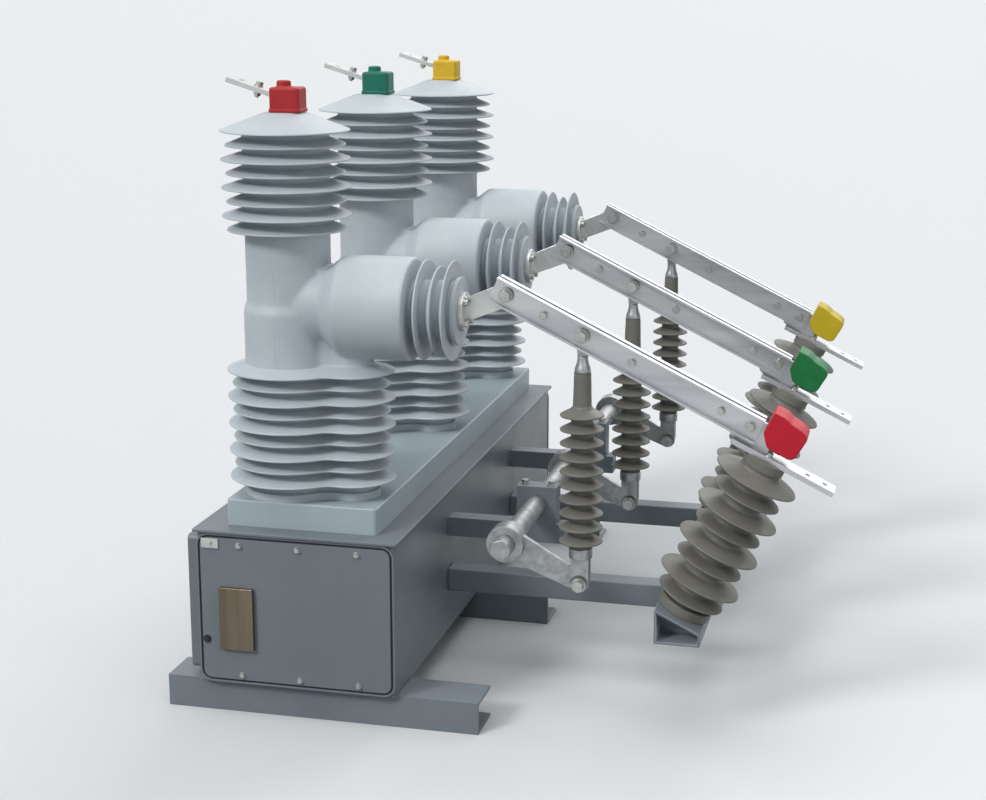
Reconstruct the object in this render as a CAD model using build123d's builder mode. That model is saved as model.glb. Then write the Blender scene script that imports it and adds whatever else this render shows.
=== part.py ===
import math
import os

from build123d import *

os.makedirs("parts", exist_ok=True)

# Frame: millimetres, Z up, X towards the isolating switch, Y along the row of poles.
# The origin is on the ground, on the middle base rail's underside, below the middle pole's axis.

# Row of poles
pole_spacing = 700
phases = {"red": -pole_spacing, "green": 0, "yellow": pole_spacing}

# Base rails: channels laid across the row, open to +Y
rail_inset = 77
rail_start = -290
rail_end = 500
rail_width = 120
rail_height = 80
rail_wall = 8
base_hole_r = 9
base_holes = (-255, 425)

# Mechanism cabinet and the bed the poles stand on
cabinet_back = -193
cabinet_front = 300
cabinet_over = 40
cabinet_height = 381
lid_lip = 10
lid_thickness = 8
bed_back = -131
bed_front = 248
bed_over = 117
bed_height = 66
cover_margin = 6
cover_thickness = 6
side_cover_depth = 36
side_cover_inset = 22
side_cover_drop = 17
plate_size = (86, 157)
plate_at = (57, 132)
plate_thickness = 12

# Sheds of the pole mouldings
shed_pitch = 33
shed_rim = 4
shed_slope = 16
large_shed_r = 153
small_shed_r = 142

# Lower column: keyhole plan of a main lobe and a cable lobe joined by two concave fillets
main_x = 0
main_r = 103
lobe_x = 157
lobe_r = 51
neck_r = 90
large_grow = 50
small_grow = 38
foot_grow = 12
foot_height = 18
first_rim = 41
lower_sheds = 9

# T-shaped housing with the current transformer barrel
body_r = 109
body_above_axis = 2
column_r = 101
ct_r = 123
ct_cone_start = 106
ct_cone_start_r = 94
ct_shoulder = 143
ct_length = 171
ct_core_r = 70
ct_large_r = 118
ct_small_r = 104
ct_first_rim = 25
ct_disc_r = 80
ct_disc = 10
ct_end_gap = 11
ct_below = 34
ct_web_rise = 90
housing_above_axis = 96

# Upper column and its cap
upper_first_rim = 83
upper_sheds = 7
cap_slope = 40
cap_top_r = 48

# Upper terminal and its boot
stem_side = 30
stem_height = 48
pad_thickness = 12
pad_level = 34
pad_length = 140
pad_width = 52
pad_rise = 17
pad_hole_r = 6.5
pad_hole_gap = 44
pad_hole_at = 88
boot_back = -28
boot_front = 46
boot_half = 31
boot_height = 58
knob_r = 17
knob_height = 15

# Isolating switch: s runs down along the closed blade from its hinge, t is square to it
blade_drop = 26
hinge_reach = 110
blade_tail = 35
blade_length = 660
blade_height = 60
channel_width = 20
channel_wall = 5
jaw_gap = 14
tongue = 12
pin_r = 10
pin_clearance = 0.05
pin_stand = 6
hinge_rise = 45
spacer_places = (0.15, 0.5, 0.85)
lug_r = 28
lug_disc_r = 46
lug_disc = 12
drive_arm = 200
rod_length = 600

# Vertical drive insulator
eye_r = 15
eye_stem = 78
collar_r = 19
collar_height = 10
socket_height = 26
rod_neck = 84
rod_r = 22
rod_core_r = 26
rod_shed_r = 52
rod_slope = 14
rod_sheds = 10
fork_r = 22
fork_gap = 16
fork_ear = 8
fork_height = 62
fork_clearance = 0.5

# Drive shaft and cranks
shaft_r = 25
shaft_over = 75
crank_plate = 14
crank_hub_r = 45
crank_hub_half = 26
crank_root_r = 38
crank_tip_r = 22
bearing_half = 26
bearing_side = 52
bearing_cap = 46

# Inclined post insulators, line terminals and line boots
post_past = 44
contact_overlap = 58
contact_past = 40
contact_top = 22
bar_overlap = 48
bar_past = 212
bar_width = 60
bar_thickness = 12
bar_drop = 10
post_length = 420
post_core_r = 47
post_large_r = 100
post_small_r = 82
post_cap_r = 50
post_cap = 22
post_foot_r = 64
post_foot = 24
post_sheds = 8
hood_gap = 8
hood_length = 90
hood_bottom = -20
hood_top = 58
hood_half = 42

# Isolator frame carried by the cabinet
arm_size = 60
upper_arm_size = 50
upper_arm_end = 610
seat_half = 60
seat_over = 95
seat_body = 32

# Places along the row and along the blade
bed_half = pole_spacing + bed_over
cabinet_half = bed_half + cabinet_over
rail_y = cabinet_half - rail_inset
arm_y = pole_spacing / 2
spacer_s = [place * blade_length for place in spacer_places]
post_s = blade_length + post_past
contact_s = blade_length - contact_overlap
contact_end_s = blade_length + contact_past
bar_start_s = blade_length - bar_overlap
bar_end_s = blade_length + bar_past
hood_start_s = blade_length + hood_gap
hood_end_s = hood_start_s + hood_length

# Levels that follow from the sizes above
cabinet_bottom = rail_height
cabinet_top = cabinet_bottom + cabinet_height
bed_bottom = cabinet_top + lid_thickness
bed_top = bed_bottom + bed_height
lower_first_z = bed_top + first_rim
lower_last_z = lower_first_z + (lower_sheds - 1) * shed_pitch
housing_bottom = lower_last_z - shed_rim
ct_z = lower_last_z + ct_below + ct_r
ledge_z = ct_z + body_above_axis
housing_top = ct_z + housing_above_axis
upper_first_z = housing_top + upper_first_rim
cap_z = upper_first_z + upper_sheds * shed_pitch
cap_top = cap_z + shed_rim + cap_slope
ct_barrel_end = ct_shoulder + ct_length
ct_last_rim = ct_barrel_end + ct_first_rim + 2 * shed_pitch
ct_end = ct_last_rim + ct_end_gap + ct_disc
hinge_x = ct_end + hinge_reach
lug_tilt = math.atan2(hinge_rise, hinge_reach)
hinge_z = ct_z + hinge_rise
drop = math.radians(blade_drop)
blade_dir = (math.cos(drop), 0, -math.sin(drop))
post_dir = (math.sin(drop), 0, math.cos(drop))
shaft_x = hinge_x
shaft_z = hinge_z - rod_length
rod_x = hinge_x + drive_arm * math.cos(drop)
rod_top_z = hinge_z - drive_arm * math.sin(drop)
web_inner = jaw_gap / 2
web_outer = web_inner + channel_wall
bar_top_t = -blade_height / 2 - bar_drop
post_top_t = bar_top_t - bar_thickness
post_base_t = post_top_t - post_length
seat_x = hinge_x + post_s * math.cos(drop) + post_base_t * math.sin(drop)
seat_z = hinge_z - post_s * math.sin(drop) + post_base_t * math.cos(drop)
seat_back_x = seat_x - seat_half * math.cos(drop)
seat_back_z = seat_z + seat_half * math.sin(drop)
seat_front_x = seat_x + seat_half * math.cos(drop)
seat_front_z = seat_z - seat_half * math.sin(drop)
arm_top = seat_front_z - seat_body
upper_arm_top = min(shaft_z - bearing_side, cabinet_top - 8)

rise = math.radians(pad_rise)
pad_dir = (-math.cos(rise), 0, math.sin(rise))
pad_normal = (math.sin(rise), 0, math.cos(rise))

# Centre of the concave fillet that touches both lobes of the keyhole plan
lobe_gap = lobe_x - main_x
main_reach = main_r + neck_r
lobe_reach = lobe_r + neck_r
neck_along = (lobe_gap**2 + main_reach**2 - lobe_reach**2) / (2 * lobe_gap)
neck_x = main_x + neck_along
neck_y = math.sqrt(main_reach**2 - neck_along**2)


# Keyhole outline grown outwards by an even amount
def keyhole(grow):
    with Locations((main_x, 0)):
        Circle(main_r + grow)
    with Locations((lobe_x, 0)):
        Circle(lobe_r + grow)
    Polygon((main_x, 0), (neck_x, neck_y), (lobe_x, 0), (neck_x, -neck_y), align=None)
    with Locations((neck_x, neck_y), (neck_x, -neck_y)):
        Circle(neck_r - grow, mode=Mode.SUBTRACT)


# One keyhole shed: an upright rim below a ruled slope up to the core
def keyhole_shed(pole_y, height, grow):
    with BuildSketch(Plane((0, pole_y, height))) as rim:
        keyhole(grow)
    extrude(rim.sketch, amount=shed_rim)
    with BuildSketch(Plane((0, pole_y, height + shed_rim))) as slope_foot:
        keyhole(grow)
    with BuildSketch(Plane((0, pole_y, height + shed_rim + shed_slope))) as slope_head:
        keyhole(0)
    loft([slope_foot.sketch.face(), slope_head.sketch.face()], ruled=True)


# Stem on the cap and the flat bar through it, added as the terminal or cut out of its boot
def upper_terminal(pole_y, mode):
    with BuildSketch(Plane((0, pole_y, cap_top))) as stem:
        Rectangle(stem_side, stem_side)
    extrude(stem.sketch, amount=stem_height, mode=mode)
    side = Plane(origin=(0, pole_y, cap_top + pad_level), x_dir=pad_dir, z_dir=(0, 1, 0))
    with BuildSketch(side) as bar:
        with Locations(((pad_length - stem_side / 2) / 2, 0)):
            Rectangle(pad_length + stem_side / 2, pad_thickness)
    extrude(bar.sketch, amount=pad_width / 2, both=True, mode=mode)


# Points of a shedded profile, as (radius, height), from the lowest shed to the highest
def shed_points(core, sheds):
    points = []
    for height, rim_radius in sheds:
        points.append((core, height))
        points.append((rim_radius, height))
        points.append((rim_radius, height + shed_rim))
        points.append((core, height + shed_rim + shed_slope))
    return points


# Upright plane through a pole's row position, with X across and Z up
def side_plane(x, y, z):
    return Plane(origin=(x, y, z), x_dir=(1, 0, 0), z_dir=(0, -1, 0))


# The same plane turned so that its first axis runs down along the closed blade
def blade_plane(y):
    return Plane(origin=(hinge_x, y, hinge_z), x_dir=blade_dir, z_dir=(0, -1, 0))


# Base rails
for name, y in {"front": -rail_y, "middle": 0, "rear": rail_y}.items():
    with BuildPart() as rail:
        with BuildSketch(Plane(origin=(rail_start, y, 0), x_dir=(0, 1, 0), z_dir=(1, 0, 0))):
            with Locations((0, rail_height / 2)):
                Rectangle(rail_width, rail_height)
            with Locations((rail_wall, rail_height / 2)):
                Rectangle(rail_width, rail_height - 2 * rail_wall, mode=Mode.SUBTRACT)
        extrude(amount=rail_end - rail_start)
        if name != "middle":
            with BuildSketch(Plane((0, y, 0))):
                with Locations(*[(x, 0) for x in base_holes]):
                    Circle(base_hole_r)
            extrude(amount=rail_wall, mode=Mode.SUBTRACT)
    rail.part.label = f"rail_{name}"
    export_step(rail.part, f"parts/rail_{name}.step")

# Cabinet body
cabinet_mid = (cabinet_back + cabinet_front) / 2
cabinet_width = cabinet_front - cabinet_back
with BuildPart() as cabinet:
    with BuildSketch(Plane((cabinet_mid, 0, cabinet_bottom))):
        Rectangle(cabinet_width, 2 * cabinet_half)
    extrude(amount=cabinet_height)
cabinet.part.label = "cabinet"
export_step(cabinet.part, "parts/cabinet.step")

# Lid plate with the raised bed for the poles
with BuildPart() as bed:
    with BuildSketch(Plane((cabinet_mid, 0, cabinet_top))):
        Rectangle(cabinet_width + 2 * lid_lip, 2 * (cabinet_half + lid_lip))
    extrude(amount=lid_thickness)
    with BuildSketch(Plane(((bed_back + bed_front) / 2, 0, bed_bottom))):
        Rectangle(bed_front - bed_back, 2 * bed_half)
    extrude(amount=bed_height)
bed.part.label = "pole_bed"
export_step(bed.part, "parts/pole_bed.step")

# Bolted covers on the cabinet's two ends
for name, side in {"front": -1, "rear": 1}.items():
    with BuildPart() as cover:
        face = Plane(
            origin=(cabinet_mid, side * cabinet_half, cabinet_bottom + cabinet_height / 2),
            x_dir=(1, 0, 0),
            z_dir=(0, side, 0),
        )
        with BuildSketch(face):
            Rectangle(cabinet_width - 2 * cover_margin, cabinet_height - 2 * cover_margin)
        extrude(amount=cover_thickness)
    cover.part.label = f"end_cover_{name}"
    export_step(cover.part, f"parts/end_cover_{name}.step")

# Long access cover on the side away from the isolator
with BuildPart() as side_cover:
    cover_bottom = cabinet_bottom + side_cover_inset
    cover_top = cabinet_top - side_cover_drop
    with BuildSketch(Plane((cabinet_back - side_cover_depth / 2, 0, cover_bottom))):
        Rectangle(side_cover_depth, 2 * (cabinet_half - side_cover_inset))
    extrude(amount=cover_top - cover_bottom)
side_cover.part.label = "side_cover"
export_step(side_cover.part, "parts/side_cover.step")

# Plain metal plate standing proud of the front cover
with BuildPart() as plate:
    plate_plane = side_plane(
        cabinet_back + plate_at[0] + plate_size[0] / 2,
        -cabinet_half - cover_thickness,
        cabinet_top - plate_at[1] - plate_size[1] / 2,
    )
    with BuildSketch(plate_plane):
        Rectangle(plate_size[0], plate_size[1])
    extrude(amount=plate_thickness)
plate.part.label = "cover_plate"
export_step(plate.part, "parts/cover_plate.step")

for colour, pole_y in phases.items():
    # Lower support column with its keyhole sheds
    with BuildPart() as support:
        with BuildSketch(Plane((0, pole_y, bed_top))):
            keyhole(foot_grow)
        extrude(amount=foot_height)
        with BuildSketch(Plane((0, pole_y, bed_top + foot_height))):
            keyhole(0)
        extrude(amount=housing_bottom - bed_top - foot_height)
        for index in range(lower_sheds - 1):
            grow = small_grow if index % 2 else large_grow
            keyhole_shed(pole_y, lower_first_z + index * shed_pitch, grow)
    support.part.label = f"support_insulator_{colour}"
    export_step(support.part, f"parts/support_insulator_{colour}.step")

    # Housing: stepped body, web beside the neck and the current transformer's barrel with its own sheds
    with BuildPart() as housing:
        with BuildSketch(Plane((0, pole_y, housing_bottom))):
            keyhole(0)
        extrude(amount=ct_z - housing_bottom)
        keyhole_shed(pole_y, lower_last_z, large_grow)
        with BuildSketch(Plane((main_x, pole_y, lower_last_z + shed_rim))):
            Circle(body_r)
        extrude(amount=ledge_z - lower_last_z - shed_rim)
        with BuildSketch(Plane((0, pole_y, ct_z))):
            Circle(column_r)
        extrude(amount=housing_top - ct_z)
        with BuildSketch(Plane((0, pole_y, ct_z))):
            with Locations((lobe_x / 2, 0)):
                Rectangle(lobe_x, 2 * lobe_r)
        extrude(amount=ct_web_rise)
        ct_sheds = []
        for index in range(3):
            rim_radius = ct_small_r if index % 2 else ct_large_r
            ct_sheds.append((ct_barrel_end + ct_first_rim + index * shed_pitch, rim_radius))
        ct_outline = [(0, 0), (0, ct_cone_start_r), (ct_cone_start, ct_cone_start_r)]
        ct_outline += [(ct_shoulder, ct_r), (ct_barrel_end, ct_r), (ct_barrel_end, ct_core_r)]
        for along, rim_radius in ct_sheds:
            ct_outline.append((along - shed_slope, ct_core_r))
            ct_outline.append((along, rim_radius))
            ct_outline.append((along + shed_rim, rim_radius))
            ct_outline.append((along + shed_rim, ct_core_r))
        ct_outline += [(ct_end - ct_disc, ct_core_r), (ct_end - ct_disc, ct_disc_r)]
        ct_outline += [(ct_end, ct_disc_r), (ct_end, 0)]
        with BuildSketch(side_plane(0, pole_y, ct_z)):
            with BuildLine():
                Polyline(*ct_outline, close=True)
            make_face()
        revolve(axis=Axis((0, pole_y, ct_z), (1, 0, 0)))
    housing.part.label = f"ct_housing_{colour}"
    export_step(housing.part, f"parts/ct_housing_{colour}.step")

    # Upper column with its sheds and the conical cap
    with BuildPart() as upper:
        upper_rims = []
        for index in range(upper_sheds):
            rim_radius = large_shed_r if index % 2 else small_shed_r
            upper_rims.append((upper_first_z + index * shed_pitch, rim_radius))
        upper_outline = [(0, housing_top), (column_r, housing_top)]
        upper_outline += shed_points(column_r, upper_rims)
        upper_outline += [(column_r, cap_z), (large_shed_r, cap_z), (large_shed_r, cap_z + shed_rim)]
        upper_outline += [(cap_top_r, cap_top), (0, cap_top)]
        with BuildSketch(side_plane(0, pole_y, 0)):
            with BuildLine():
                Polyline(*upper_outline, close=True)
            make_face()
        revolve(axis=Axis((0, pole_y, 0), (0, 0, 1)))
    upper.part.label = f"interrupter_pole_{colour}"
    export_step(upper.part, f"parts/interrupter_pole_{colour}.step")

    # Upper terminal: its flat bar rises away from the isolator
    with BuildPart() as terminal:
        upper_terminal(pole_y, Mode.ADD)
        bar_plane = Plane(origin=(0, pole_y, cap_top + pad_level), x_dir=pad_dir, z_dir=pad_normal)
        with BuildSketch(bar_plane):
            with Locations((pad_hole_at - pad_hole_gap / 2, 0), (pad_hole_at + pad_hole_gap / 2, 0)):
                Circle(pad_hole_r)
        extrude(amount=pad_thickness / 2, both=True, mode=Mode.SUBTRACT)
    terminal.part.label = f"top_terminal_{colour}"
    export_step(terminal.part, f"parts/top_terminal_{colour}.step")

    # Coloured boot on the upper terminal, with its round knob
    with BuildPart() as boot:
        boot_mid = (boot_back + boot_front) / 2
        with BuildSketch(Plane((boot_mid, pole_y, cap_top))):
            RectangleRounded(boot_front - boot_back, 2 * boot_half, 10)
        extrude(amount=boot_height)
        with BuildSketch(Plane((boot_mid, pole_y, cap_top + boot_height))):
            Circle(knob_r)
        extrude(amount=knob_height)
        upper_terminal(pole_y, Mode.SUBTRACT)
    boot.part.label = f"top_boot_{colour}"
    export_step(boot.part, f"parts/top_boot_{colour}.step")

    # Hinge lug bolted to the transformer's end
    with BuildPart() as lug:
        with BuildSketch(Plane(origin=(ct_end, pole_y, ct_z), x_dir=(0, 1, 0), z_dir=(1, 0, 0))):
            Circle(lug_disc_r)
        extrude(amount=lug_disc)
        with BuildSketch(side_plane(ct_end, pole_y, ct_z)):
            Polygon(
                (0, -lug_r),
                (hinge_reach + lug_r * math.sin(lug_tilt), hinge_rise - lug_r * math.cos(lug_tilt)),
                (hinge_reach - lug_r * math.sin(lug_tilt), hinge_rise + lug_r * math.cos(lug_tilt)),
                (0, lug_r),
                align=None,
            )
            with Locations((hinge_reach, hinge_rise)):
                Circle(lug_r)
                Circle(pin_r + pin_clearance, mode=Mode.SUBTRACT)
        extrude(amount=tongue / 2, both=True)
    lug.part.label = f"hinge_lug_{colour}"
    export_step(lug.part, f"parts/hinge_lug_{colour}.step")

    # Blade: two channels back to back, held apart by spacers and pins
    with BuildPart() as blade:
        tail_point = (
            hinge_x - blade_tail * blade_dir[0],
            pole_y,
            hinge_z - blade_tail * blade_dir[2],
        )
        web_y = web_inner + channel_wall / 2
        flange_y = web_inner + channel_width / 2
        flange_t = blade_height / 2 - channel_wall / 2
        with BuildSketch(Plane(origin=tail_point, x_dir=(0, 1, 0), z_dir=blade_dir)):
            with Locations((web_y, 0), (-web_y, 0)):
                Rectangle(channel_wall, blade_height)
            with Locations((flange_y, flange_t), (flange_y, -flange_t), (-flange_y, flange_t), (-flange_y, -flange_t)):
                Rectangle(channel_width, channel_wall)
        extrude(amount=blade_tail + blade_length)
        with BuildSketch(blade_plane(pole_y)):
            with Locations(*[(s, 0) for s in spacer_s]):
                Circle(pin_r)
        extrude(amount=web_outer, both=True)
        with BuildSketch(blade_plane(pole_y)):
            with Locations((0, 0), (drive_arm, 0)):
                Circle(pin_r)
        extrude(amount=web_outer + pin_stand, both=True)
    blade.part.label = f"blade_{colour}"
    export_step(blade.part, f"parts/blade_{colour}.step")

    # Vertical drive insulator: eye, collar, smooth neck, sheds, socket and fork
    with BuildPart() as rod:
        fork_top = rod_length - fork_height
        lower_socket_top = fork_top - socket_height
        neck_bottom = eye_stem + collar_height + rod_neck
        with BuildSketch(side_plane(rod_x, pole_y, rod_top_z)):
            Circle(eye_r)
            with Locations((0, -eye_stem / 2)):
                Rectangle(2 * eye_r, eye_stem)
            Circle(pin_r + pin_clearance, mode=Mode.SUBTRACT)
        extrude(amount=tongue / 2, both=True)
        rod_step = (lower_socket_top - neck_bottom) / rod_sheds
        rod_outline = [(0, -eye_stem), (collar_r, -eye_stem), (collar_r, -eye_stem - collar_height)]
        rod_outline += [(rod_r, -eye_stem - collar_height), (rod_r, -neck_bottom), (rod_core_r, -neck_bottom)]
        for index in range(rod_sheds):
            level = -neck_bottom - index * rod_step - shed_rim / 2
            rod_outline.append((rod_core_r, level))
            rod_outline.append((rod_shed_r, level - rod_slope))
            rod_outline.append((rod_shed_r, level - rod_slope - shed_rim))
            rod_outline.append((rod_core_r, level - rod_slope - shed_rim))
        rod_outline += [(rod_core_r, -fork_top), (0, -fork_top)]
        with BuildSketch(side_plane(rod_x, pole_y, rod_top_z)):
            with BuildLine():
                Polyline(*rod_outline, close=True)
            make_face()
        revolve(axis=Axis((rod_x, pole_y, 0), (0, 0, 1)))
        for side in (-1, 1):
            ear = side_plane(rod_x, pole_y + side * (fork_gap + fork_ear) / 2, rod_top_z - rod_length)
            with BuildSketch(ear):
                Circle(fork_r)
                with Locations((0, fork_height / 2)):
                    Rectangle(2 * fork_r, fork_height)
                Circle(pin_r + fork_clearance, mode=Mode.SUBTRACT)
            extrude(amount=fork_ear / 2, both=True)
    rod.part.label = f"drive_insulator_{colour}"
    export_step(rod.part, f"parts/drive_insulator_{colour}.step")

    # Crank on the drive shaft, parallel to the blade
    with BuildPart() as crank:
        crank_side = Plane(origin=(shaft_x, pole_y, shaft_z), x_dir=blade_dir, z_dir=(0, -1, 0))
        slant = math.asin((crank_root_r - crank_tip_r) / drive_arm)
        root_top = (crank_root_r * math.sin(slant), crank_root_r * math.cos(slant))
        tip_top = (drive_arm + crank_tip_r * math.sin(slant), crank_tip_r * math.cos(slant))
        with BuildSketch(crank_side):
            Circle(crank_root_r)
            with Locations((drive_arm, 0)):
                Circle(crank_tip_r)
            with BuildLine():
                Polyline(root_top, tip_top, (tip_top[0], -tip_top[1]), (root_top[0], -root_top[1]), close=True)
            make_face()
        extrude(amount=crank_plate / 2, both=True)
        with BuildSketch(crank_side):
            Circle(crank_hub_r)
        extrude(amount=crank_hub_half, both=True)
        with BuildSketch(crank_side):
            Circle(shaft_r + pin_clearance)
        extrude(amount=crank_hub_half, both=True, mode=Mode.SUBTRACT)
        with BuildSketch(crank_side):
            with Locations((drive_arm, 0)):
                Circle(pin_r)
        extrude(amount=fork_gap / 2 + fork_ear + pin_stand, both=True)
    crank.part.label = f"crank_{colour}"
    export_step(crank.part, f"parts/crank_{colour}.step")

    # Inclined post insulator, square to the closed blade
    with BuildPart() as post:
        post_rims = []
        post_step = (post_length - post_foot - post_cap) / post_sheds
        for index in range(post_sheds):
            rim_radius = post_large_r if index % 2 else post_small_r
            post_rims.append((post_base_t + post_foot + (index + 0.5) * post_step - shed_slope / 2, rim_radius))
        post_outline = [(0, post_base_t), (post_foot_r, post_base_t), (post_foot_r, post_base_t + post_foot)]
        post_outline += [(post_core_r, post_base_t + post_foot)]
        post_outline += shed_points(post_core_r, post_rims)
        post_outline += [(post_core_r, post_top_t - post_cap), (post_cap_r, post_top_t - post_cap)]
        post_outline += [(post_cap_r, post_top_t), (0, post_top_t)]
        post_axis_point = (hinge_x + post_s * blade_dir[0], pole_y, hinge_z + post_s * blade_dir[2])
        with BuildSketch(Plane(origin=post_axis_point, x_dir=blade_dir, z_dir=(0, -1, 0))):
            with BuildLine():
                Polyline(*post_outline, close=True)
            make_face()
        revolve(axis=Axis(post_axis_point, post_dir))
    post.part.label = f"post_insulator_{colour}"
    export_step(post.part, f"parts/post_insulator_{colour}.step")

    # Line terminal: fixed knife contact and the flat bar that takes the line
    with BuildPart() as line:
        with BuildSketch(blade_plane(pole_y)):
            with Locations(((bar_start_s + bar_end_s) / 2, bar_top_t - bar_thickness / 2)):
                Rectangle(bar_end_s - bar_start_s, bar_thickness)
        extrude(amount=bar_width / 2, both=True)
        with BuildSketch(blade_plane(pole_y)):
            with Locations(((contact_s + contact_end_s) / 2, (bar_top_t + contact_top) / 2)):
                Rectangle(contact_end_s - contact_s, contact_top - bar_top_t)
        extrude(amount=tongue / 2, both=True)
        bar_origin = (
            hinge_x + post_top_t * post_dir[0],
            pole_y,
            hinge_z + post_top_t * post_dir[2],
        )
        with BuildSketch(Plane(origin=bar_origin, x_dir=blade_dir, z_dir=post_dir)):
            hole_s = bar_end_s - pad_width / 2 - pad_hole_gap / 2
            with Locations((hole_s - pad_hole_gap / 2, 0), (hole_s + pad_hole_gap / 2, 0)):
                Circle(pad_hole_r)
        extrude(amount=bar_thickness, mode=Mode.SUBTRACT)
    line.part.label = f"line_terminal_{colour}"
    export_step(line.part, f"parts/line_terminal_{colour}.step")

    # Coloured hood over the end of the fixed contact
    with BuildPart() as hood:
        with BuildSketch(blade_plane(pole_y)):
            with Locations(((hood_start_s + hood_end_s) / 2, (hood_bottom + hood_top) / 2)):
                RectangleRounded(hood_end_s - hood_start_s, hood_top - hood_bottom, 12)
        extrude(amount=hood_half, both=True)
        with BuildSketch(blade_plane(pole_y)):
            with Locations(((hood_start_s + contact_end_s) / 2, (hood_bottom + contact_top) / 2)):
                Rectangle(contact_end_s - hood_start_s, contact_top - hood_bottom)
        extrude(amount=tongue / 2, both=True, mode=Mode.SUBTRACT)
    hood.part.label = f"line_boot_{colour}"
    export_step(hood.part, f"parts/line_boot_{colour}.step")

# Drive shaft below the blade hinges
shaft_half = pole_spacing + shaft_over
with BuildPart() as shaft:
    with BuildSketch(side_plane(shaft_x, 0, shaft_z)):
        Circle(shaft_r)
    extrude(amount=shaft_half, both=True)
shaft.part.label = "drive_shaft"
export_step(shaft.part, "parts/drive_shaft.step")

# Frame arms on the cabinet: a short one with the shaft's bearing above a long one
for name, y in {"front": -arm_y, "rear": arm_y}.items():
    with BuildPart() as upper_arm:
        upper_run = upper_arm_end - cabinet_front
        with BuildSketch(side_plane(cabinet_front, y, upper_arm_top)):
            with Locations((upper_run / 2, -upper_arm_size / 2)):
                Rectangle(upper_run, upper_arm_size)
        extrude(amount=upper_arm_size / 2, both=True)
        block_height = shaft_z + bearing_cap - upper_arm_top
        with BuildSketch(side_plane(shaft_x, y, upper_arm_top)):
            with Locations((0, block_height / 2)):
                Rectangle(2 * bearing_side, block_height)
            with Locations((0, shaft_z - upper_arm_top)):
                Circle(shaft_r + pin_clearance, mode=Mode.SUBTRACT)
        extrude(amount=bearing_half, both=True)
    upper_arm.part.label = f"bearing_arm_{name}"
    export_step(upper_arm.part, f"parts/bearing_arm_{name}.step")

    with BuildPart() as lower_arm:
        lower_run = seat_front_x - cabinet_front
        with BuildSketch(side_plane(cabinet_front, y, arm_top)):
            with Locations((lower_run / 2, -arm_size / 2)):
                Rectangle(lower_run, arm_size)
        extrude(amount=arm_size / 2, both=True)
    lower_arm.part.label = f"post_arm_{name}"
    export_step(lower_arm.part, f"parts/post_arm_{name}.step")

# Seat beam with its upper face square to the posts
with BuildPart() as beam:
    with BuildSketch(side_plane(0, 0, 0)):
        with BuildLine():
            Polyline(
                (seat_back_x, arm_top),
                (seat_front_x, arm_top),
                (seat_front_x, seat_front_z),
                (seat_back_x, seat_back_z),
                close=True,
            )
        make_face()
    extrude(amount=pole_spacing + seat_over, both=True)
beam.part.label = "seat_beam"
export_step(beam.part, "parts/seat_beam.step")
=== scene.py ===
import math

import bmesh
import bpy
from mathutils import Matrix, Vector


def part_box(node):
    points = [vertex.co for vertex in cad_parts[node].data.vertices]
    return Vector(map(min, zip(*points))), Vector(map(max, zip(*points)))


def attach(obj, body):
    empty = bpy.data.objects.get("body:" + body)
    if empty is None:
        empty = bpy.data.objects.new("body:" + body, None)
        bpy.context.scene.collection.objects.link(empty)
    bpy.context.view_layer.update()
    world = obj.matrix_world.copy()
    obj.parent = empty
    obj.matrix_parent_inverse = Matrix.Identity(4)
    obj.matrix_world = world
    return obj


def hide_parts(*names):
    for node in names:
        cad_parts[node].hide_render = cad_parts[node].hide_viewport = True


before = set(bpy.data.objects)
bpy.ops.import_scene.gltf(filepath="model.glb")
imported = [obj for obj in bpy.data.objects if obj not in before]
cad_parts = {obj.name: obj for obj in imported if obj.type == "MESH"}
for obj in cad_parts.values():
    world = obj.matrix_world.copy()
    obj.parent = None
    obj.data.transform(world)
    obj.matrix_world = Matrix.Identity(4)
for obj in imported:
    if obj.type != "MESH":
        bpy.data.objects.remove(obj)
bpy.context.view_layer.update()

mm = 0.001
speck = 1e-6  # points nearer than this are one point
poles = {"red": -0.700, "green": 0.0, "yellow": 0.700}  # where each pole stands along Y, in metres
tilt = math.radians(26)  # how steeply the closed blades slope down
print("frame loaded with", len(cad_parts), "nodes")


def roundOff(bm, geom, width, segments, affect="EDGES", slide=False):
    bmesh.ops.bevel(bm, geom=geom, offset=width, offset_type="OFFSET", segments=segments, profile=0.5,
                    affect=affect, clamp_overlap=True, loop_slide=slide, material=-1)


def sharpEdges(bm, angle=60):
    return [edge for edge in bm.edges if edge.calc_face_angle(0) > math.radians(angle)]


def drawOut(bm, faces, way):
    # The faces drawn out along a way, with walls behind them
    grown = bmesh.ops.extrude_face_region(bm, geom=faces)
    moved = [item for item in grown["geom"] if isinstance(item, bmesh.types.BMVert)]
    bmesh.ops.translate(bm, vec=way, verts=moved)


def drawArc(bm, vert, centre, axis, sweep, steps):
    # A point turned about a centre draws an arc; its far end is given back
    turned = bmesh.ops.spin(bm, geom=[vert], cent=centre, axis=axis, dvec=(0, 0, 0), angle=sweep, steps=steps,
                            use_merge=False, use_duplicate=False)
    return [item for item in turned["geom_last"] if isinstance(item, bmesh.types.BMVert)][0]


def turnTo(along):
    # The turn that lays Z along a direction
    return Vector(along).to_track_quat("Z", "Y").to_matrix().to_4x4()


def wireOf(profile, segments=4):
    # A wire through (out, up, rounding) points in millimetres, in the XZ plane
    bm = bmesh.new()
    verts = [bm.verts.new((out * mm, 0, up * mm)) for out, up, rounding in profile]
    for one, other in zip(verts, verts[1:]):
        bm.edges.new((one, other))
    for size in sorted({rounding for out, up, rounding in profile} - {0}):
        corners = [vert for vert, (out, up, rounding) in zip(verts, profile) if rounding == size]
        roundOff(bm, corners, size * mm, segments, "VERTICES")
    return bm


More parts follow.
